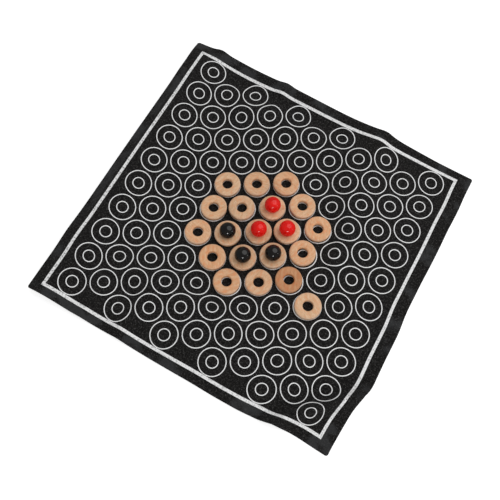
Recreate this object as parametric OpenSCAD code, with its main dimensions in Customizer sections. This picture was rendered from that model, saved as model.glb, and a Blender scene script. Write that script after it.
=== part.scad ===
// A strategy game on a cloth mat: loose wooden rings lie on printed circles, and six balls sit in rings.
// The origin is the middle of the mat's underside. +Y runs up the columns of circles and +Z is up.

/* [Rings] */
// Outer diameter of a ring
ring_od = 24.5; // [18:0.5:40]
// Diameter of the hole through a ring
ring_bore_d = 9.5; // [6:0.5:12]
// Thickness of a ring
ring_t = 5; // [3:0.5:10]
// Radius of the rounded edges of a ring, around the rim and around the hole
ring_edge_r = 1.5; // [0.4:0.1:2]

/* [Balls] */
// Diameter of a ball
ball_d = 15; // [13:0.5:22]
// Running clearance between a ball and the rounded edge it sits on
ball_clearance = 0.05; // [0:0.01:0.2]

/* [Printed pattern] */
// Columns of double circles across the mat
column_count = 11; // [9:2:15]
// Rows of double circles in the long columns, with one fewer in the columns between them
row_count = 10; // [8:1:14]
// Free gap between two rings that lie centred on neighbouring circles
ring_spacing = 3.5; // [1:0.5:12]
// How far the outer circle's line runs inside the rim of a ring centred on it
rim_line_inset = 0; // [0:0.05:1]
// How far the inner circle's line runs outside the hole of a ring centred on it
hole_line_outset = 0.55; // [0.3:0.05:2]
// Width of the printed circle lines
line_w = 1; // [0.4:0.1:2]
// Width of the printed border line
border_line_w = 3; // [1:0.5:6]
// Free gap between the outermost circle lines and the border line, at the left and right
side_gap = 5.8; // [0.1:0.1:20]
// Free gap between the outermost circle lines and the border line, at the two column ends
end_gap = 0.1; // [0.1:0.1:20]
// Height of the ink above the cloth
ink_h = 0.1; // [0.05:0.05:0.3]

/* [Mat] */
// Thickness of the cloth
cloth_t = 0.8; // [0.4:0.1:3]
// Plain cloth outside the border line
margin = 10.5; // [3:0.5:40]
// Radius of the mat's corners
mat_corner_r = 2; // [0.5:0.5:10]
// Height of the cloth's folds, as a share of their full heights
fold_share = 0.95; // [0.3:0.05:1.1]

/* [Hidden] */
$fn = 96;
// Distance between the middles of neighbouring circles, and between two columns
pitch = ring_od + ring_spacing;
column_step = pitch * sqrt(3) / 2;
// Radii of the printed circles, at the middle of their lines
outer_circle_r = ring_od / 2 - rim_line_inset;
inner_circle_r = ring_bore_d / 2 + hole_line_outset;
// How far an outermost circle reaches from its middle to the outside of its line
circle_reach = outer_circle_r + line_w / 2;
// Half sizes of the field that the border line surrounds, and of the mat
field_x = (column_count - 1) / 2 * column_step + circle_reach + side_gap;
field_y = (row_count - 1) / 2 * pitch + circle_reach + end_gap;
mat_x = field_x + border_line_w + margin;
mat_y = field_y + border_line_w + margin;
// Heights of the ring's underside and top, and of a ball's middle in its seat
ring_z = cloth_t + ink_h;
ring_top = ring_z + ring_t;
ring_wall = (ring_od - ring_bore_d) / 2;
edge_r = min(ring_edge_r, 0.4 * ring_t);
seat_reach = ball_d / 2 + edge_r + ball_clearance;
ball_z = ring_top - edge_r + sqrt(pow(seat_reach, 2) - pow(ring_bore_d / 2 + edge_r, 2));

// Where each ring lies: its column and place in the column, then how far it lies off centre,
// across and up, as a share of the free gap between rings
ring_places = [
    [3, 3, 0.1, -0.1], [4, 3, 0, -0.1], [5, 2, -0.1, -0.1],
    [3, 4, 0.3, 0.2], [4, 4, -0.1, -0.2], [5, 3, 0.1, -0.2], [6, 3, -0.1, 0.2],
    [3, 5, 0.2, 0.1], [4, 5, 0.3, -0.4], [5, 4, 0.2, 0], [6, 4, -0.3, -0.2], [7, 3, -0.4, 0.4],
    [4, 6, 0.1, -0.1], [5, 5, 0.1, -0.3], [6, 5, -0.3, 0], [7, 4, -0.8, 0.4],
    [5, 6, -0.3, -0.1], [6, 6, 0, -0.2], [7, 5, -0.5, 0.2],
    [8, 6, 0.1, 0.4]
];
// The rings that hold a ball, counted from the first ring as 1
red_ball_rings = [6, 10, 11];
black_ball_rings = [9, 14, 15];

// The folds that the cloth keeps from being packed. Each runs from one place to another, given as a
// column and a place in it, has a height in mm, and spreads to the left and right of its run by
// a share of the pitch. All stay clear of the rings, where the cloth lies flat. No two that meet
// are equally high, because their crests would then run together in one plane.
left_folds = [[[-0.77, -0.1], [-0.77, 9.9], 10, 1.22, 0.85]];
back_folds = [
    [[7.5, -0.86], [-0.2, -0.86], 6.5, 0.5, 0.7],
    [[7.5, 0.46], [0.5, 0.46], 4.5, 0.5, 0.5],
    [[7.23, 0.9], [7.23, -1.1], 7.5, 0.75, 0.57]
];
right_folds = [
    [[7.3, 1.1], [8, 2], 7.2, 0.8, 0.25],
    [[8, 2], [8.4, 4.3], 7.8, 0.9, 0.25]
];
front_folds = [
    [[-0.3, 7.65], [5.8, 7.65], 5.5, 0.38, 0.7],
    [[5.8, 7.65], [8.6, 7.8], 4, 0.38, 0.7],
    [[0, 8.95], [8.2, 9], 3, 0.75, 0.75]
];
corner_folds = [[[8.42, 9.93], [11.43, 7.18], 11, 0.5, 0.38]];
fold_groups = [left_folds, back_folds, right_folds, front_folds, corner_folds];
fold_names = ["mat_fold_left", "mat_fold_back", "mat_fold_right", "mat_fold_front", "mat_fold_corner"];
all_folds = [for (group = fold_groups, fold = group) fold];
// Half spread of a fold's foot and of its flat crest, in multiples of its spread
foot_share = 1.45;
crest_share = 0.35;
// How far the folds and the ground are carried on below the table while they are cut, and a
// height above them all up to which outlines are drawn
below = 1;
above_folds = 30;

function two_digits(i) = str(i < 10 ? "0" : "", i);
function ring_name(i) = str("ring_", two_digits(i));
function column_length(c) = row_count - c % 2;
function circle_x(c) = (c - (column_count - 1) / 2) * column_step;
function circle_y(c, j) = ((column_length(c) - 1) / 2 - j) * pitch;
function ring_spot(i) = let (place = ring_places[i - 1]) [
    circle_x(place[0]) + place[2] * ring_spacing,
    circle_y(place[0], place[1]) + place[3] * ring_spacing
];

function fold_place(place) = [circle_x(place[0]), ((row_count - 1) / 2 - place[1]) * pitch];
function fold_run(fold) = fold_place(fold[1]) - fold_place(fold[0]);

// Whether a circle of full reach about a place lies partly on a fold
function on_fold(x, y, fold) =
    let (
        away = [x, y] - fold_place(fold[0]),
        length = norm(fold_run(fold)),
        ahead = fold_run(fold) / length,
        along = away * ahead,
        across = away * [ahead[1], -ahead[0]],
        reach = foot_share * (fold[3] + fold[4]) / 2 * pitch + circle_reach,
        left = foot_share * fold[3] * pitch + circle_reach,
        right = foot_share * fold[4] * pitch + circle_reach
    )
    along > -reach && along < length + reach && across > -left && across < right;
function folded_here(x, y) = len([for (fold = all_folds) if (on_fold(x, y, fold)) 1]) > 0;

// The outline of the cloth, cut square with slightly eased corners
module mat_outline() {
    square([2 * (mat_x - mat_corner_r), 2 * mat_y], center = true);
    square([2 * mat_x, 2 * (mat_y - mat_corner_r)], center = true);
    for (x = [-1, 1], y = [-1, 1])
        translate([x * (mat_x - mat_corner_r), y * (mat_y - mat_corner_r)])
            circle(r = mat_corner_r);
}

// A slope up from the foot, a flat crest and a slope down, drawn from x = 0 to x = length
module fold_profile(length, before, after, height) {
    more = (foot_share - crest_share) * below / height;
    polygon([
        [-(foot_share + more) * before, -below],
        [-crest_share * before, height],
        [length + crest_share * after, height],
        [length + (foot_share + more) * after, -below]
    ]);
}

// The space under one fold: its profile across the run and its profile along it, cut to each other
module fold_space(fold) {
    place = fold_place(fold[0]);
    run = fold_run(fold);
    left = fold[3] * pitch;
    right = fold[4] * pitch;
    height = fold[2] * fold_share;
    reach = norm(run) + 2 * pitch * (fold[3] + fold[4]);
    translate([place[0], place[1], 0])
        rotate([0, 0, atan2(run[1], run[0])])
            intersection() {
                rotate([90, 0, 0])
                    linear_extrude(4 * (left + right), center = true)
                        fold_profile(norm(run), (left + right) / 2, (left + right) / 2, height);
                rotate([90, 0, 90])
                    linear_extrude(2 * reach, center = true)
                        fold_profile(0, right, left, height);
            }
}

// The space under several folds, raised by z
module fold_spaces(folds, z = 0) {
    for (fold = folds)
        translate([0, 0, z])
            fold_space(fold);
}

// Everything below the height t above the table or the folds
module ground(t) {
    translate([0, 0, -2 * below])
        linear_extrude(2 * below + t)
            square([3 * mat_x, 3 * mat_y], center = true);
    fold_spaces(all_folds, t);
}

// The part of the cloth that lies flat, with an opening wherever a fold lifts it off the table
module mat_cloth() {
    color("#242424")
        difference() {
            linear_extrude(cloth_t)
                mat_outline();
            fold_spaces(all_folds);
        }
}

// The lifted cloth over one group of folds, from the level of the flat cloth upwards
module mat_fold(g) {
    color("#2c2c2c")
        difference() {
            intersection() {
                translate([0, 0, cloth_t])
                    linear_extrude(above_folds)
                        mat_outline();
                fold_spaces(fold_groups[g], cloth_t);
            }
            fold_spaces(all_folds);
            for (earlier = [0:1:g - 1])
                fold_spaces(fold_groups[earlier], cloth_t);
        }
}

// A layer of ink on the cloth, over the flat drawing that it is given
module ink_on_cloth() {
    intersection() {
        linear_extrude(above_folds)
            children();
        difference() {
            ground(cloth_t + ink_h);
            ground(cloth_t);
        }
    }
}

// One printed circle line on flat cloth, of radius r at the middle of the line
module circle_line(r) {
    rotate_extrude()
        translate([r - line_w / 2, 0])
            square([line_w, ink_h]);
}

// The same line as a flat drawing
module circle_drawing(r) {
    difference() {
        circle(r = r + line_w / 2);
        circle(r = r - line_w / 2);
    }
}

// The double circles, in columns that are staggered by half a circle
module printed_circles() {
    color("#e6e6e6") {
        for (c = [0:column_count - 1], j = [0:column_length(c) - 1])
            if (!folded_here(circle_x(c), circle_y(c, j)))
                translate([circle_x(c), circle_y(c, j), cloth_t]) {
                    circle_line(outer_circle_r);
                    circle_line(inner_circle_r);
                }
        ink_on_cloth()
            for (c = [0:column_count - 1], j = [0:column_length(c) - 1])
                if (folded_here(circle_x(c), circle_y(c, j)))
                    translate([circle_x(c), circle_y(c, j)]) {
                        circle_drawing(outer_circle_r);
                        circle_drawing(inner_circle_r);
                    }
    }
}

// The line around the whole pattern
module printed_border() {
    color("#e6e6e6")
        ink_on_cloth()
            difference() {
                square([2 * (field_x + border_line_w), 2 * (field_y + border_line_w)], center = true);
                square([2 * field_x, 2 * field_y], center = true);
            }
}

// Half of a ring's cross-section, with its four edges rounded
module ring_section() {
    translate([ring_bore_d / 2, 0]) {
        translate([edge_r, 0])
            square([ring_wall - 2 * edge_r, ring_t]);
        translate([0, edge_r])
            square([ring_wall, ring_t - 2 * edge_r]);
        for (x = [edge_r, ring_wall - edge_r], z = [edge_r, ring_t - edge_r])
            translate([x, z])
                circle(r = edge_r);
    }
}

// A turned wooden ring in its place on the mat
module ring(i) {
    color(i == 19 ? "#c88c5f" : "#e1b188")
        translate([ring_spot(i)[0], ring_spot(i)[1], ring_z])
            rotate_extrude()
                ring_section();
}

// A ball, resting on the rounded edge of the hole in ring i
module ball(i, tint) {
    color(tint)
        translate([ring_spot(i)[0], ring_spot(i)[1], ball_z])
            sphere(d = ball_d);
}

mat_cloth();
for (g = [0:len(fold_names) - 1])
    mat_fold(g);
printed_circles();
printed_border();
for (i = [1:len(ring_places)])
    ring(i);
for (i = [1:len(red_ball_rings)])
    ball(red_ball_rings[i - 1], "#d8201c");
for (i = [1:len(black_ball_rings)])
    ball(black_ball_rings[i - 1], "#161618");
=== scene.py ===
# %% [markdown]
# A strategy game on a cloth mat. Twenty loose wooden rings lie on a square of black cloth that is
# printed with double circles, and six lacquered balls sit in the holes of six of the rings.
# The rings and balls come from the CAD model, where their shapes are already right, so here they
# only need finishes. The cloth is different: it has just been unfolded and still carries ridges and
# a lifted corner. The CAD model has these as plain slopes, in six straight-edged pieces, and real
# cloth is one sheet that bends softly. So the cloth and its print are made here.
#
# Everything is in metres, in the CAD model's own frame: the origin is the middle of the mat's
# underside, X runs across the columns of circles, Y along them, and Z is up.

# %% Load the CAD model
import math
import random

import bpy
import numpy as np
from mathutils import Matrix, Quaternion, Vector


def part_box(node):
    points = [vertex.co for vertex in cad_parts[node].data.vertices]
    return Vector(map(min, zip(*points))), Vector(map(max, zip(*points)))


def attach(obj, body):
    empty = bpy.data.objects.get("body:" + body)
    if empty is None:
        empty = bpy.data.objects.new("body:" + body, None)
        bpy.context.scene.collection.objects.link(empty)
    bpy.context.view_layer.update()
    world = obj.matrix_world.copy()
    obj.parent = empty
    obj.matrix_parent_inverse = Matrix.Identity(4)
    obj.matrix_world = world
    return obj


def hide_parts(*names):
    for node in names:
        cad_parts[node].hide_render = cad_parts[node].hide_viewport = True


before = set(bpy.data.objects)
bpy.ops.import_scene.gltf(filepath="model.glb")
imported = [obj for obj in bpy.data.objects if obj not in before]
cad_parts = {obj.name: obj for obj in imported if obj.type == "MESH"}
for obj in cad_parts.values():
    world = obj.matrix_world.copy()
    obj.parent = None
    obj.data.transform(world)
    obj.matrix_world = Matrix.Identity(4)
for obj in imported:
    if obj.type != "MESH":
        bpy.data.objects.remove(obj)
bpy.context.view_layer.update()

mm = 0.001


def rounded(values, digits=4):
    return tuple(round(float(value), digits) for value in values)


# %% [markdown]
# Operators act on everything that is selected, and the loader leaves all the CAD nodes selected.
# So a small helper clears the selection, and a second one selects a single piece and makes it the
# active one. Every step below starts from one of these two.


# %% Selecting
def select_nothing():
    if bpy.context.mode != "OBJECT":
        bpy.ops.object.mode_set(mode="OBJECT")
    bpy.ops.object.select_all(action="DESELECT")


def select_only(piece):
    select_nothing()
    piece.select_set(True)
    bpy.context.view_layer.objects.active = piece


select_nothing()
print("selected:", len(bpy.context.selected_objects))

# %% [markdown]
# The camera comes first, because it says how large everything will look. The photograph was taken
# from above the near edge of the mat, about 65 cm away and 20 degrees off straight down, with the
# camera turned a little about its own line of sight. The printed circles are a regular pattern, so
# the camera's place could be found from how that pattern shrinks towards the far corner.
# A camera looks along its own -Z, with Y up, so the direction is turned into a rotation with
# to_track_quat, and the small roll is a further turn about its own Z.

# %% The camera
camera_place = Vector((101.5, -217.3, 601.3)) * mm
camera_direction = Vector((-0.1553, 0.3104, -0.9378))
camera_roll = math.radians(2.8)
nearest_seen = 10 * mm

bpy.ops.object.camera_add(location=camera_place)
camera = bpy.context.active_object
camera.rotation_mode = "QUATERNION"
camera.rotation_quaternion = camera_direction.to_track_quat("-Z", "Y") @ Quaternion((0, 0, 1), camera_roll)
camera.data.sensor_width = 36
camera.data.lens = 50.3
camera.data.clip_start = nearest_seen
bpy.context.scene.camera = camera
bpy.context.scene.view_settings.view_transform = "Standard"
print("camera", round(camera_place.length, 3), "m from the middle of the mat, lens", camera.data.lens, "mm")

# %% [markdown]
# The cloth is cut first as a flat sheet, and only then folded, as the real one was. It starts as a
# grid, a plane with many small cells, because a fold needs vertices to bend at. Cells of 1.5 mm
# are fine enough for the tightest ridge, whose crest bends at a radius of about 4 mm.

# %% Cut the cloth
mat_nodes = [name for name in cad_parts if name.startswith("mat_")]
corners = np.array([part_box(name) for name in mat_nodes])
cloth_width, cloth_length = (corners[:, 1].max(axis=0) - corners[:, 0].min(axis=0))[:2]
cloth_low, cloth_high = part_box("mat_cloth")
cloth_thickness, cloth_top = cloth_high.z - cloth_low.z, cloth_high.z
cells_across, cells_along = 204, 203

select_nothing()
bpy.ops.mesh.primitive_grid_add(x_subdivisions=cells_across, y_subdivisions=cells_along, size=1,
                                location=(0, 0, cloth_top))
cloth = bpy.context.active_object
cloth.name = cloth.data.name = "folded_cloth"
bpy.ops.object.mode_set(mode="EDIT")
bpy.ops.transform.resize(value=(cloth_width, cloth_length, 1), center_override=(0, 0, cloth_top))
bpy.ops.object.mode_set(mode="OBJECT")
bpy.ops.object.transform_apply(location=True, rotation=True, scale=True)
print("cloth", rounded((cloth_width, cloth_length)), "m with", len(cloth.data.vertices), "vertices")

# %% [markdown]
# Many vertices move at once when a sheet is trimmed or folded, so two helpers read all their
# places as one table and write it back. The table has a row for each line of vertices along Y and
# a column for each along X, which is the order in which the grid was made.


# %% Reading and writing the sheet
def read_sheet(sheet):
    places = np.empty(len(sheet.data.vertices) * 3)
    sheet.data.vertices.foreach_get("co", places)
    return places.reshape(cells_along + 1, cells_across + 1, 3)


def write_sheet(sheet, places):
    sheet.data.vertices.foreach_set("co", np.ascontiguousarray(places).ravel())
    sheet.data.update()


flat = read_sheet(cloth)
print("steps across and along:", np.diff(flat[0, :2, 0]).round(5), np.diff(flat[:2, 0, 1]).round(5))

# %% [markdown]
# The sheet was cut by hand and isn't quite square, so its corners are moved a little. They go out
# or in by less than 4 mm, and every vertex between them follows in proportion: a corner's share in
# a vertex is the product of its shares in the two directions. The very corner vertices also come
# in by 0.6 mm, which eases the point like the 2 mm radius of the CAD.

# %% Trim the cloth out of true
# how far each corner of the real cut lies from a true square, in millimetres, across and along
corner_shift = {("left", "far"): (0.0, 0.0), ("right", "far"): (2.0, -3.2),
                ("left", "near"): (0.0, 3.6), ("right", "near"): (0.5, 1.2)}
corner_easing = 0.6 * mm

share_right = flat[:, :, 0] / cloth_width + 0.5
share_far = flat[:, :, 1] / cloth_length + 0.5
for (side, end), (dx, dy) in corner_shift.items():
    side_share = share_right if side == "right" else 1 - share_right
    end_share = share_far if end == "far" else 1 - share_far
    share = side_share * end_share
    flat[:, :, 0] += share * dx * mm
    flat[:, :, 1] += share * dy * mm
corner_vertices = [(row, column) for row in (0, -1) for column in (0, -1)]
for row, column in corner_vertices:
    flat[row, column, :2] -= np.sign(flat[row, column, :2]) * corner_easing
write_sheet(cloth, flat)
print("trimmed corners (mm):", [rounded(flat[row, column, :2] / mm, 1) for row, column in corner_vertices])

# %% [markdown]
# A weave must follow the cloth into its folds, so its pattern can't be tied to a place in space.
# Each piece of the mat gets a flat map instead: its UV coordinates are where the cloth lay in
# metres while it was still flat. A pattern 1 mm wide on that map stays 1 mm wide on the cloth.


# %% A flat map
def lay_flat_map(piece):
    mesh = piece.data
    layer = mesh.uv_layers.active or mesh.uv_layers.new(name="flat_map")
    layer.name = "flat_map"
    for loop in mesh.loops:
        layer.data[loop.index].uv = mesh.vertices[loop.vertex_index].co.xy


lay_flat_map(cloth)
print("map from", rounded(cloth.data.uv_layers[0].data[0].uv))

# %% [markdown]
# The print is white ink that was pressed through a screen onto the weave. It could be drawn in the
# cloth's material, but as thin pieces of its own it stays sharp however near one looks, and it has
# its own finish. The circles' places and radii are the CAD model's: neighbouring circles lie 28 mm
# apart, and the middles of the two lines lie 12.25 and 5.3 mm from the centre. The lines are drawn
# a little narrower than there, as they look in the photograph.
# Real ink is thinner than the 0.22 mm given to it here, but on a ridge a thinner band would dip
# into the cloth between two vertices. The broad border line crosses the tightest ridge of all, so
# it gets 0.4 mm.

# %% Sizes of the print
pitch = 28 * mm
column_step = pitch * math.sqrt(3) / 2
line_width = 0.86 * mm
line_thickness = 0.22 * mm
large_radius = 12.25 * mm - line_width / 2
small_radius = 5.3 * mm - line_width / 2
cad_border_width = 3 * mm
border_width = 2.8 * mm
border_thickness = 0.4 * mm
print("circles every", rounded((column_step, pitch), 5))
print("inner edges of the lines", rounded((large_radius, small_radius), 5))

# %% [markdown]
# One circle line is enough to model: a ring of edges is extruded once, and the new edges are
# widened, which leaves a flat band. Its faces are turned upwards, and Solidify gives it its
# thickness. The lines have few corners, 32 round the large circle and 20 round the small one,
# because 105 pairs of them are on the mat.


# %% One circle line
def close_drawing(band):
    """Leaves edit mode, with all faces of the flat band turned upwards."""
    bpy.ops.mesh.select_all(action="SELECT")
    bpy.ops.mesh.normals_make_consistent(inside=False)
    bpy.ops.object.mode_set(mode="OBJECT")
    bpy.ops.object.transform_apply(location=True, rotation=True, scale=True)
    if band.data.polygons[0].normal.z < 0:
        band.data.flip_normals()


def circle_line(name, inner_radius, corner_count, centre):
    select_nothing()
    bpy.ops.mesh.primitive_circle_add(vertices=corner_count, radius=inner_radius, location=centre)
    line = bpy.context.active_object
    line.name = line.data.name = name
    bpy.ops.object.mode_set(mode="EDIT")
    bpy.ops.mesh.select_all(action="SELECT")
    bpy.ops.mesh.extrude_edges_move()
    wider = (inner_radius + line_width) / inner_radius
    bpy.ops.transform.resize(value=(wider, wider, 1), center_override=centre)
    close_drawing(line)
    return line


def give_thickness(piece, thickness, above):
    """Solidify, with the share of the thickness that lies above the face as drawn, from 0 to 1."""
    select_only(piece)
    wall = piece.modifiers.new("thickness", "SOLIDIFY")
    wall.thickness = thickness
    wall.offset = 2 * above - 1
    bpy.ops.object.modifier_apply(modifier=wall.name)


# %% [markdown]
# The circles lie in eleven columns. The six long columns have ten circles, and the five between
# them have nine and sit half a circle further along. Two Array modifiers, one across and one
# along, turn the first circle of each kind into its whole field, and each copy is real mesh.


# %% Repeat a line over its columns
def repeat(piece, count, step):
    select_only(piece)
    row = piece.modifiers.new("row", "ARRAY")
    row.count = count
    row.use_relative_offset = False
    row.use_constant_offset = True
    row.constant_offset_displace = step
    bpy.ops.object.modifier_apply(modifier=row.name)


lines = []
for kind, columns, circles in (("long", 6, 10), ("short", 5, 9)):
    first = Vector((-(columns - 1) * column_step, -(circles - 1) / 2 * pitch, cloth_top))
    for size, radius, corner_count in (("large", large_radius, 32), ("small", small_radius, 20)):
        line = circle_line(f"{kind}_{size}", radius, corner_count, first)
        give_thickness(line, line_thickness, above=1)
        repeat(line, columns, (2 * column_step, 0, 0))
        repeat(line, circles, (0, pitch, 0))
        lines.append(line)
select_nothing()
for line in lines:
    line.select_set(True)
bpy.context.view_layer.objects.active = lines[0]
bpy.ops.object.join()
circle_prints = bpy.context.active_object
circle_prints.name = circle_prints.data.name = "circle_prints"
lay_flat_map(circle_prints)
print("circle lines:", len(circle_prints.data.polygons), "faces, reach", rounded(circle_prints.dimensions))

# %% [markdown]
# The border is a line barely 3 mm wide round the whole field. A plane of the field's size loses its
# face, so that only its four edges are left. They are cut into short steps, which lets the line
# follow the folds, and extruded outwards twice, half the line's width each time.

# %% The border line
border_low, border_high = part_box("printed_border")
field_width = border_high.x - border_low.x - 2 * cad_border_width
field_length = border_high.y - border_low.y - 2 * cad_border_width
steps_a_side = 281

select_nothing()
bpy.ops.mesh.primitive_plane_add(size=1, location=(0, 0, cloth_top))
border_print = bpy.context.active_object
border_print.name = border_print.data.name = "border_print"
bpy.ops.object.mode_set(mode="EDIT")
bpy.ops.transform.resize(value=(field_width, field_length, 1), center_override=(0, 0, cloth_top))
bpy.ops.mesh.delete(type="ONLY_FACE")
bpy.ops.mesh.select_all(action="SELECT")
bpy.ops.mesh.subdivide(number_cuts=steps_a_side - 1)
for before, after in ((0, border_width / 2), (border_width / 2, border_width)):
    bpy.ops.mesh.extrude_edges_move()
    bpy.ops.transform.resize(value=((field_width + 2 * after) / (field_width + 2 * before),
                                    (field_length + 2 * after) / (field_length + 2 * before), 1),
                             center_override=(0, 0, cloth_top))
close_drawing(border_print)
give_thickness(border_print, border_thickness, above=1)
lay_flat_map(border_print)
print("border:", len(border_print.data.polygons), "faces, size", rounded(border_print.dimensions))

# %% [markdown]
# Ink goes wherever its cloth goes. Surface Deform does just that: it binds each vertex of the print
# to the cell of the cloth under it while both are flat. Once the cloth has been folded, applying
# the modifier carries the print along.


# %% Bind the print to the flat cloth
def bind_to_cloth(piece):
    select_only(piece)
    follow = piece.modifiers.new("follow_cloth", "SURFACE_DEFORM")
    follow.target = cloth
    bpy.ops.object.surfacedeform_bind(modifier=follow.name)
    print(piece.name, "bound:", follow.is_bound)


bind_to_cloth(circle_prints)
bind_to_cloth(border_print)

# %% [markdown]
# Now the folds. A cloth that was packed folded keeps soft ridges where its creases were, and a
# draping simulation would only smooth these away, so each ridge is laid one by one, as in sculpting.
# A fold is a run from one point to another with a height, and a width on the left and on the right
# of the run, so one flank can be steeper. The last one is the near right corner, which was folded
# over once and now drops to the table along a sharp ridge.
# The creases are short puckers at the edges. All numbers are millimetres on the flat cloth.

# %% The folds, as they lie on the cloth
# start, end, height, width on the left, width on the right
folds = [
    ((54, 95), (54, 156), 6.5, 20, 19),
    ((58, 85), (82, -2), 7.5, 26, 16),
    ((-140, 128), (-140, -150), 10.0, 33, 24),
    ((60, 150), (-126, 150), 6.5, 14, 20),
    ((60, 113), (-110, 113), 4.5, 14, 14),
    ((-130, -88), (20, -88), 5.5, 13, 20),
    ((20, -88), (90, -92), 4.0, 13, 20),
    ((-120, -124), (80, -126), 3.0, 22, 22),
    ((112, 60), (112, -60), 1.5, 24, 24),
    ((88, -157), (162, -80), 9.2, 8.5, 8.5),
]
creases = [
    ((-125, 160), (-124, 150), 3.0, 7, 7),
    ((-50, 154), (-50, 125), 2.5, 7, 7),
    ((60, 156), (60, 130), 2.5, 8, 8),
    ((-60, -152), (-58, -100), 3.5, 9, 9),
    ((-98, -152), (-96, -110), 3.0, 9, 9),
]
print(len(folds), "folds and", len(creases), "creases")

# %% [markdown]
# Whoever spread the cloth also tugged at it in passing, so its edges aren't quite straight and the
# circles have wandered a little. A pull takes the cloth at one place and shifts it along the table,
# here by at most 2.5 mm, and its effect fades out over the third number, its reach.
# The rings pull too. They were pushed together by hand after they had been put on their circles,
# so each lies a little off the true grid, and most of that way it has taken the cloth with it.

# %% The pulls, as they lie on the cloth
# place, shift, reach
pulls = [
    ((115, 18), (1.4, 0), 34),
    ((150, 106), (-0.7, 0), 26),
    ((-40, 150), (0, 1.0), 36),
    ((85, 162), (0, 2.2), 24),
    ((-125, -128), (0, 1.4), 30),
    ((-155, 160), (-2.0, 0), 34),
    ((-150, -60), (0.8, 0), 60),
    ((152, -146), (-2.5, 0), 30),
    ((148, -80), (1.2, 0), 18),
    ((118, -146), (0, 1.6), 24),
    ((0, -156), (0, -1.0), 40),
]
taken_along = 0.9
ring_reach = 17
ring_boxes = [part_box(name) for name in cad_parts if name.startswith("ring_")]
ring_middles = [(low + high) / 2 / mm for low, high in ring_boxes]
print(len(pulls), "pulls and", len(ring_middles), "rings, the first at", rounded(ring_middles[0], 1))

# %% [markdown]
# The height of one fold is a bell curve across its run, and it fades in the same way past the two
# ends. Where two folds meet, adding their heights would pile them up, so they are blended: the
# cube root of the summed cubes stays near the higher one and still turns smoothly from one to the
# other. Under a wooden ring the cloth is pressed flat, so every fold dies away towards the rings.

# %% How high the cloth lies
pressed_radius = 11.5  # millimetres from a ring's middle within which the cloth is quite flat
rise_width = 20        # millimetres beyond that over which the folds come up to their full height


def fold_height(x, y, start, end, height, left_width, right_width):
    run = np.subtract(end, start)
    length = np.hypot(*run)
    ux, uy = run / length
    along = (x - start[0]) * ux + (y - start[1]) * uy
    across = (x - start[0]) * uy - (y - start[1]) * ux
    side = np.where(across > 0, right_width, left_width)
    past_end = np.maximum(np.maximum(-along, along - length), 0)
    return height * np.exp(-(across / side) ** 2 - (past_end / ((left_width + right_width) / 2)) ** 2)


def cloth_height(x, y):
    ridges = sum(fold_height(x, y, *fold) ** 3 for fold in folds) ** (1 / 3)
    ridges = ridges + sum(fold_height(x, y, *crease) for crease in creases)
    nearest = np.min([np.hypot(x - middle.x, y - middle.y) for middle in ring_middles], axis=0)
    free = np.clip((nearest - pressed_radius) / rise_width, 0, 1)
    return ridges * free * free * (3 - 2 * free)


flat_x, flat_y = flat[:, :, 0] / mm, flat[:, :, 1] / mm
lift = cloth_height(flat_x, flat_y) * mm
print("highest ridge and mean height (mm):", rounded((lift.max() / mm, lift.mean() / mm), 1))

# %% [markdown]
# The pulls are simply added up. The rings lie too close together for that, because a spot between
# two of them would get both shifts. It gets their mean instead, in which the nearer ring counts
# more. The cloth that stays where it is has a small part in that mean, and so the shift dies out
# away from the rings.


# %% How far the cloth is shifted
def near_to(x, y, place, reach):
    """1 at the place, fading out like a bell curve."""
    return np.exp(-((x - place[0]) ** 2 + (y - place[1]) ** 2) / reach ** 2)


def own_circle(middle):
    """The centre of the printed circle that a ring was put on, in millimetres."""
    column = round(middle.x / (column_step / mm))
    half = column % 2 / 2
    row = round(middle.y / (pitch / mm) + half) - half
    return np.array((column * column_step, row * pitch)) / mm


def cloth_shift(x, y):
    pulled = np.zeros(x.shape + (2,))
    for place, shift, reach in pulls:
        pulled += near_to(x, y, place, reach)[..., None] * shift
    part_that_stays = 0.5
    carried, weights = np.zeros_like(pulled), np.full(x.shape, part_that_stays)
    for middle in ring_middles:
        circle = own_circle(middle)
        weight = near_to(x, y, circle, ring_reach)
        carried += weight[..., None] * (np.array(middle[:2]) - circle)
        weights += weight
    return pulled + taken_along * carried / weights[..., None]


shift = cloth_shift(flat_x, flat_y) * mm
shift_sizes = np.hypot(shift[:, :, 0], shift[:, :, 1])
print("shifts along the table: up to", round(float(shift_sizes.max()) / mm, 1), "mm")

# %% [markdown]
# Cloth hardly stretches, so a fold that rises must pull the cloth in from the sides. The length of
# each small step of the sheet is kept: where the step climbs, it covers less ground, by the old
# rule for the sides of a right triangle. A weave is too stiff for one thread to slip past the next,
# so what a fold takes up is shared with the rows beside it. Summing it outwards from the middle
# gives each vertex its new place, and the edges come in by as much as the folds take up.

# %% Fold the cloth
shortest_share = 0.3
sharing_rounds = 36


def taken_up(steps, rises):
    """What each step of the sheet loses in reach by climbing, never more than 0.7 of its length."""
    return steps - np.sqrt(np.maximum(steps ** 2 - rises ** 2, (shortest_share * steps) ** 2))


def shared(losses):
    """Evens a table out along its first direction by averaging each row with its two neighbours."""
    for sharing_round in range(sharing_rounds):
        wider = np.concatenate([losses[:1], losses, losses[-1:]])
        losses = (wider[:-2] + wider[1:-1] + wider[2:]) / 3
    return losses


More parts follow.
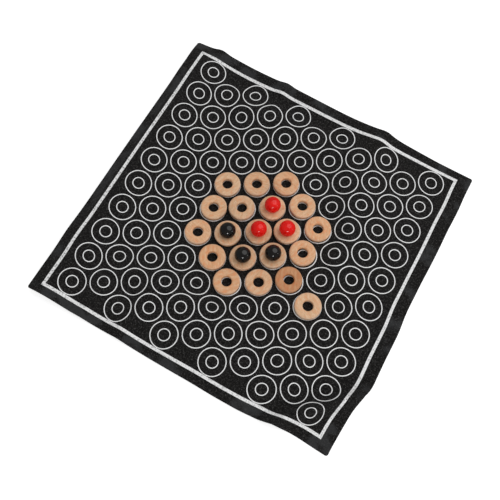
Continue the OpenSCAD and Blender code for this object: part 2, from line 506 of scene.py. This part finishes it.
lost_across = shared(taken_up(np.diff(flat[:, :, 0], axis=1), np.diff(lift, axis=1)))
lost_along = shared(taken_up(np.diff(flat[:, :, 1], axis=0), np.diff(lift, axis=0)).T).T
folded = flat.copy()
folded[:, 1:, 0] -= np.cumsum(lost_across, axis=1)
folded[1:, :, 1] -= np.cumsum(lost_along, axis=0)
middle_row, middle_column = (cells_along + 1) // 2, (cells_across + 1) // 2
folded[:, :, 0] += (flat[:, middle_column, 0] - folded[:, middle_column, 0])[:, None]
folded[:, :, 1] += (flat[middle_row, :, 1] - folded[middle_row, :, 1])[None, :]
folded[:, :, :2] += shift
folded[:, :, 2] += lift
write_sheet(cloth, folded)
bpy.context.view_layer.update()
drawn_in = (np.abs(flat) - np.abs(folded))[:, :, :2].max()
print("the folds draw the edges in by up to", round(float(drawn_in) / mm, 1), "mm")

# %% [markdown]
# With the cloth folded, the print can follow it. The cloth was a face without thickness so far, and
# Solidify gives it one downwards, so that its top stays where the ink lies. Both are then shaded
# smooth, apart from edges that bend more sharply than a fold does: the cut rim and the ink's rims.

# %% Let the print follow, and give the cloth its thickness
sharp_print_edge, sharp_cloth_edge = math.radians(40), math.radians(50)
for piece in (circle_prints, border_print):
    select_only(piece)
    bpy.ops.object.modifier_apply(modifier="follow_cloth")
    bpy.ops.object.shade_smooth_by_angle(angle=sharp_print_edge)
give_thickness(cloth, cloth_thickness, above=0)
select_only(cloth)
bpy.ops.object.shade_smooth_by_angle(angle=sharp_cloth_edge)
print("cloth", len(cloth.data.polygons), "faces, thickness", round(cloth_thickness / mm, 2), "mm")

# %% [markdown]
# The cloth takes the place of the CAD model's flat cloth and its lifted pieces, and the print that
# of the CAD print. All move with the mat.

# %% Put the mat's pieces on its body, in place of the CAD nodes
for piece, nodes, finish_slot in ((cloth, mat_nodes, "black_cloth"),
                                  (circle_prints, ["printed_circles"], "white_print"),
                                  (border_print, ["printed_border"], "white_print")):
    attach(piece, "mat")
    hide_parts(*nodes)
print("the mat is made of", [piece.name for piece in (cloth, circle_prints, border_print)])

# %% [markdown]
# Finishes are node trees, and the same few moves come back in all of them: add a node, set its
# options, and fill each of its sockets with a number or with a link from another node. These
# helpers do that in one line. A sum is a node too, so sums get a helper of their own.


# %% Adding nodes
def fill(tree, socket, value):
    if isinstance(value, bpy.types.NodeSocket):
        tree.links.new(value, socket)
    else:
        socket.default_value = value


def add_node(tree, kind, options=None, sockets=None):
    node = tree.nodes.new(kind)
    for option, value in (options or {}).items():
        setattr(node, option, value)
    for socket, value in (sockets or {}).items():
        fill(tree, node.inputs[socket], value)
    return node


def sum_node(tree, operation, *values):
    return add_node(tree, "ShaderNodeMath", {"operation": operation}, dict(enumerate(values))).outputs[0]


def times(tree, first, second):
    return sum_node(tree, "MULTIPLY", first, second)


# %% [markdown]
# Nothing here is one flat colour. Wherever a finish changes from place to place, a noise or a
# distance says where, a soft step turns that into a share from 0 to 1, and the share mixes two
# colours.


# %% Patterns and colours
def noise(tree, place, scale, detail, roughness=0.5):
    return add_node(tree, "ShaderNodeTexNoise", sockets={
        "Vector": place, "Scale": scale, "Detail": detail, "Roughness": roughness}).outputs[0]


def ramp(tree, value, start, end):
    """0 at start and 1 at end, with a soft step between."""
    return add_node(tree, "ShaderNodeMapRange", {"interpolation_type": "SMOOTHSTEP"}, {
        "Value": value, "From Min": start, "From Max": end}).outputs[0]


def mix_colours(tree, share, first, second):
    """The Mix node has sockets for every type of value: 0, 6 and 7, and output 2, are for colours."""
    node = add_node(tree, "ShaderNodeMix", {"data_type": "RGBA"}, {0: share, 6: first, 7: second})
    return node.outputs[2]


def grey(value):
    return (value, value, value, 1)


def tinted(colour, red, green, blue):
    return (colour[0] * red, colour[1] * green, colour[2] * blue, 1)


# %% [markdown]
# A finish starts from the Principled shader with the few values that stay the same all over. Fine
# relief, such as threads and pores, goes into its Normal socket through a Bump node, because it
# is far too fine to be modelled.


# %% Starting a finish, giving it relief and putting it on
def new_finish(name, **constants):
    finish = bpy.data.materials.new(name)
    finish.use_nodes = True
    shader = finish.node_tree.nodes["Principled BSDF"]
    for socket, value in constants.items():
        shader.inputs[socket.replace("_", " ")].default_value = value
    return finish, finish.node_tree, shader


def give_relief(tree, shader, height, strength, distance):
    bump = add_node(tree, "ShaderNodeBump", sockets={
        "Strength": strength, "Distance": distance, "Height": height})
    tree.links.new(bump.outputs[0], shader.inputs["Normal"])


def dress(piece, finish):
    piece.data.materials.clear()
    piece.data.materials.append(finish)


# %% [markdown]
# The cloth is a cotton twill, dyed black. In a twill each thread passes over two and under one, one
# step further along in each row, and that draws fine diagonal ribs about 1 mm apart. The flat map
# gives the place on the cloth, and a sine of x + y makes the ribs. Noise roughens them, because
# spun yarn is uneven. The print uses the same ribs, so they are made by one helper for both
# finishes. It also says how far out a spot lies, which tells the field, the border and the margin
# apart.


# %% The twill weave
def twill(tree):
    flat_map = add_node(tree, "ShaderNodeUVMap", {"uv_map": "flat_map"}).outputs[0]
    across, along = add_node(tree, "ShaderNodeSeparateXYZ", sockets={0: flat_map}).outputs[:2]
    far_out = sum_node(tree, "MAXIMUM", sum_node(tree, "ABSOLUTE", across),
                       sum_node(tree, "ABSOLUTE", along))
    rib_spacing = 1.1 * mm
    diagonal = sum_node(tree, "ADD", across, along)
    wander = times(tree, noise(tree, flat_map, scale=300, detail=2), 3.0)
    turns = sum_node(tree, "MULTIPLY_ADD", diagonal, 2 * math.pi / rib_spacing, wander)
    ribs = sum_node(tree, "MULTIPLY_ADD", sum_node(tree, "SINE", turns), 0.5, 0.5)
    yarn = noise(tree, flat_map, scale=900, detail=3, roughness=0.6)
    return flat_map, across, along, far_out, ribs, yarn


# %% [markdown]
# A painted highlight makes the tops of the ribs paler, and not evenly, so two noises break it up.
# A much coarser noise leaves the greyish, rubbed patches that show on the plain margin, and a band
# of painted sheen adds more of that grey along the left edge.

# %% The black cloth
black_cloth, tree, shader = new_finish("black_cloth", Roughness=0.92, Specular_IOR_Level=0.12,
                                       Sheen_Weight=0.04, Sheen_Roughness=0.6)
flat_map, across, along, far_out, ribs, yarn = twill(tree)
slubs = noise(tree, flat_map, scale=480, detail=2, roughness=0.7)
# painted highlight: the tops of the ribs are paler
painted_rib_highlight = times(tree, times(tree, ribs, ramp(tree, yarn, 0.42, 0.66)), ramp(tree, slubs, 0.36, 0.66))
thread = mix_colours(tree, painted_rib_highlight, (0.0045, 0.004, 0.0038, 1), (0.115, 0.111, 0.108, 1))
patches = noise(tree, flat_map, scale=45, detail=2)
margin = times(tree, ramp(tree, far_out, 140 * mm, 143 * mm), ramp(tree, patches, 0.5, 0.65))
# painted sheen: a patchy paler band along the left edge
painted_left_sheen = times(tree, ramp(tree, across, -143.5 * mm, -146.5 * mm),
                  ramp(tree, sum_node(tree, "ABSOLUTE", along), 110 * mm, 50 * mm))
# the rubbed patches of the margin together with the painted sheen of the left edge
rubbed_and_sheen = sum_node(tree, "MAXIMUM", margin, times(tree, painted_left_sheen, ramp(tree, patches, 0.35, 0.6)))
cloth_colour = mix_colours(tree, times(tree, rubbed_and_sheen, 0.6), thread, (0.046, 0.047, 0.049, 1))
tree.links.new(cloth_colour, shader.inputs["Base Color"])
threads = sum_node(tree, "ADD", ribs, times(tree, yarn, 0.8))
give_relief(tree, shader, threads, strength=0.6, distance=0.12 * mm)
dress(cloth, black_cloth)
print("finish:", black_cloth.name)

# %% [markdown]
# The ink is a matt off-white. It sits on the tops of the ribs and misses some of the valleys, so
# here and there a dark speck of cloth shows through, mostly on the broad border line and there
# most towards the left.

# %% The white print
white_print, tree, shader = new_finish("white_print", Roughness=0.8, Specular_IOR_Level=0.2)
flat_map, across, along, far_out, ribs, yarn = twill(tree)
in_valleys = times(tree, ramp(tree, yarn, 0.56, 0.68), sum_node(tree, "SUBTRACT", 1.0, ribs))
gaps = ramp(tree, noise(tree, flat_map, scale=520, detail=2, roughness=0.6), 0.50, 0.62)
on_border = times(tree, ramp(tree, far_out, 137.5 * mm, 138.5 * mm), gaps)
towards_left = sum_node(tree, "MULTIPLY_ADD", ramp(tree, across, -100 * mm, -140 * mm), 0.35, 0.6)
missed = sum_node(tree, "MAXIMUM", in_valleys, times(tree, on_border, towards_left))
ink = mix_colours(tree, times(tree, ribs, 0.10), grey(0.90), grey(0.95))
ink_colour = mix_colours(tree, times(tree, missed, 0.75), ink, grey(0.20))
tree.links.new(ink_colour, shader.inputs["Base Color"])
give_relief(tree, shader, ribs, strength=0.4, distance=0.1 * mm)
for piece in (circle_prints, border_print):
    dress(piece, white_print)
print("finish:", white_print.name)

# %% [markdown]
# The rings are turned from beech and only sanded. Beech is pale and even, with faint darker bands
# where the tree grew slowly, and it is known by its flecks: short brown dashes that all run the
# same way. Noise stretched along one direction gives both, once coarse for the bands and once fine
# for the flecks, and a rounder noise gives warmer and paler clouds. A painted highlight makes the
# rounded top edge paler, where the distance from the ring's axis brings in a lighter tone. A
# painted shade darkens the ring towards the bottom.
# All of these are layers: each says where it lies, how strong it is and which tone it brings in.


# %% A beech finish for one ring
def beech(name, middle, turn, pale, deep, slide):
    finish, tree, shader = new_finish(name, Roughness=0.5, Specular_IOR_Level=0.3)
    place = add_node(tree, "ShaderNodeTexCoord").outputs["Object"]
    centred = add_node(tree, "ShaderNodeMapping", {"vector_type": "TEXTURE"},
                       {"Vector": place, "Location": middle, "Rotation": (0, 0, turn)}).outputs[0]
    stretched, loosely = [
        add_node(tree, "ShaderNodeMapping", sockets={
            "Vector": centred, "Location": slide, "Scale": (squeeze, 1, 1)}).outputs[0]
        for squeeze in (0.12, 0.5)]
    bands = noise(tree, stretched, scale=380, detail=3, roughness=0.55)
    flecks = noise(tree, stretched, scale=2200, detail=2, roughness=0.6)
    clouds = noise(tree, loosely, scale=520, detail=3, roughness=0.6)
    pores = noise(tree, centred, scale=1500, detail=2)

    x, y, height = add_node(tree, "ShaderNodeSeparateXYZ", sockets={0: centred}).outputs
    from_axis = sum_node(tree, "SQRT", sum_node(tree, "ADD", sum_node(tree, "POWER", x, 2.0),
                                                sum_node(tree, "POWER", y, 2.0)))
    # painted highlight: a paler tone on the rounded top edge
    painted_edge_highlight = times(tree, ramp(tree, from_axis, 10.9 * mm, 11.9 * mm),
                     ramp(tree, height, 0.3 * mm, 1.3 * mm))
    # painted shade: darker towards the bottom of the ring
    painted_underside_shade = ramp(tree, height, 0.5 * mm, -1.8 * mm)

    wood = mix_colours(tree, ramp(tree, bands, 0.3, 0.72), pale, deep)
    for where, strength, tone in ((ramp(tree, clouds, 0.50, 0.66), 0.75, tinted(deep, 1.16, 0.84, 0.70)),
                                  (ramp(tree, clouds, 0.48, 0.34), 0.75, tinted(pale, 1.04, 1.12, 1.22)),
                                  (ramp(tree, flecks, 0.58, 0.72), 0.55, tinted(deep, 0.62, 0.50, 0.40)),
                                  (ramp(tree, pores, 0.50, 0.75), 0.25, tinted(pale, 1.10, 1.12, 1.20)),
                                  (painted_edge_highlight, 0.35, tinted(pale, 1.00, 1.28, 1.75)),
                                  (painted_underside_shade, 0.60, tinted(deep, 0.50, 0.45, 0.40))):
        wood = mix_colours(tree, times(tree, where, strength), wood, tone)
    tree.links.new(wood, shader.inputs["Base Color"])
    tree.links.new(sum_node(tree, "MULTIPLY_ADD", flecks, 0.25, 0.42), shader.inputs["Roughness"])
    give_relief(tree, shader, flecks, strength=0.35, distance=0.06 * mm)
    return finish


# %% [markdown]
# Each ring was cut from its own bit of wood, so each gets its own finish with its own tone, and a
# Mapping node that shifts and turns the pattern about the ring's middle. Random numbers with a
# fixed seed choose these, so every run gives the same set. One ring is clearly of darker wood.

# %% Give every ring its own piece of beech
chance = random.Random(7)
for name in sorted(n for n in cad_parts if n.startswith("ring_")):
    low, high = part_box(name)
    tone = chance.uniform(0.93, 1.06)
    warm = chance.uniform(-0.03, 0.03)
    pale = (0.78 * tone, (0.475 - warm) * tone, (0.275 - warm) * tone, 1)
    deep = (0.68 * tone, (0.385 - warm) * tone, (0.205 - warm) * tone, 1)
    if name == "ring_19":
        pale, deep = (0.60, 0.29, 0.135, 1), (0.50, 0.215, 0.09, 1)
    slide = Vector([chance.uniform(-1, 1) for axis in "xyz"])
    finish = beech(f"beech_{name}", (low + high) / 2, chance.uniform(0, math.pi), pale, deep, slide)
    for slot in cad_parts[name].material_slots:
        slot.material = finish
print("beech finishes:", sum(1 for m in bpy.data.materials if m.name.startswith("beech_")))

# %% [markdown]
# The balls are turned wood under gloss lacquer, three red and three black. The lacquer is dipped or
# sprayed, so it has a smooth top and slightly soft highlights. Wood grain swells a little under
# it, which shows as a very faint unevenness in the reflections. A clear coat over a coloured base
# does the gloss, and a slow noise in the bump does the unevenness.


# %% The lacquer
def lacquer(name, colour, second_colour, coat, coat_roughness):
    finish, tree, shader = new_finish(name, Roughness=0.5, Specular_IOR_Level=0.0,
                                      Coat_Weight=coat, Coat_Roughness=coat_roughness)
    place = add_node(tree, "ShaderNodeTexCoord").outputs["Object"]
    cloudy = ramp(tree, noise(tree, place, scale=220, detail=3), 0.35, 0.7)
    tree.links.new(mix_colours(tree, cloudy, colour, second_colour), shader.inputs["Base Color"])
    swell = noise(tree, place, scale=500, detail=1)
    give_relief(tree, shader, swell, strength=0.3, distance=0.08 * mm)
    return finish


lacquers = {"red": lacquer("red_lacquer", (0.88, 0.010, 0.006, 1), (0.76, 0.006, 0.004, 1),
                           coat=0.7, coat_roughness=0.12),
            "black": lacquer("black_lacquer", (0.004, 0.003, 0.003, 1), (0.007, 0.006, 0.005, 1),
                             coat=0.8, coat_roughness=0.03)}
balls = [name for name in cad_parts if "_ball_" in name]
for name in balls:
    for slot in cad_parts[name].material_slots:
        slot.material = lacquers[name.split("_")[0]]
print("lacquered:", balls)

# %% [markdown]
# The set stands on a white table top. In the photograph the table is so bright that it is plain
# white, with only a breath of shadow along the mat. More light would give that, but it would bleach
# the wood as well. So the floor helps itself: it is an ordinary pale surface, and for the camera it
# also glows a little. It stays white, and it still darkens where the mat shades it. What lights the
# pieces, and what the lacquer mirrors, is the floor without its glow.


# %% The floor
def seen_directly(tree):
    """1 for what the camera looks at itself, and 0 for what only lights or is mirrored."""
    return add_node(tree, "ShaderNodeLightPath").outputs["Is Camera Ray"]


floor_size = 6
select_nothing()
bpy.ops.mesh.primitive_plane_add(size=floor_size)
floor = bpy.context.active_object
floor.name = "floor"
white_floor = bpy.data.materials.new("white_floor")
white_floor.use_nodes = True
tree = white_floor.node_tree
tree.nodes.clear()
matt = add_node(tree, "ShaderNodeBsdfDiffuse", sockets={"Color": grey(0.55)})
glow = add_node(tree, "ShaderNodeEmission", sockets={
    "Color": grey(1), "Strength": times(tree, seen_directly(tree), 0.75)})
both = add_node(tree, "ShaderNodeAddShader", sockets={0: matt.outputs[0], 1: glow.outputs[0]})
add_node(tree, "ShaderNodeOutputMaterial", sockets={"Surface": both.outputs[0]})
floor.data.materials.append(white_floor)
print("floor", rounded(floor.dimensions))

# %% [markdown]
# The light is soft studio light. The room itself, the world, lights everything evenly at a bit
# under a third of full strength, and only the camera sees it white.

# %% The world
room_light = 0.3
world = bpy.data.worlds.new("studio")
bpy.context.scene.world = world
world.use_nodes = True
tree = world.node_tree
room = tree.nodes["Background"]
room.inputs["Color"].default_value = grey(1)
brightness = sum_node(tree, "MULTIPLY_ADD", seen_directly(tree), 1 - room_light, room_light)
tree.links.new(brightness, room.inputs["Strength"])
print("the room lights at", room_light)

# %% [markdown]
# A large softbox high up behind the mat gives the tops their brightness and leaves the near sides
# of the rings in soft shade. Two small ones stand lower, one by the camera and one to the right.
# They light little, but they are the two bright dots that each black ball mirrors.


# %% The softboxes
def softbox(name, direction, distance, size, power, shape="SQUARE"):
    direction = Vector(direction).normalized()
    bpy.ops.object.light_add(type="AREA", location=direction * distance)
    lamp = bpy.context.active_object
    lamp.name = name
    lamp.rotation_mode = "QUATERNION"
    lamp.rotation_quaternion = (-direction).to_track_quat("-Z", "Y")
    lamp.data.shape = shape
    lamp.data.size = size
    lamp.data.energy = power


softbox("overhead", (0.25, 0.45, 1.0), distance=1.4, size=1.8, power=12.8, shape="DISK")
softbox("by_the_camera", (0.427, -0.797, 0.428), distance=1.2, size=0.14, power=3.0)
softbox("at_the_right", (0.926, 0.190, 0.326), distance=1.2, size=0.12, power=0.5)
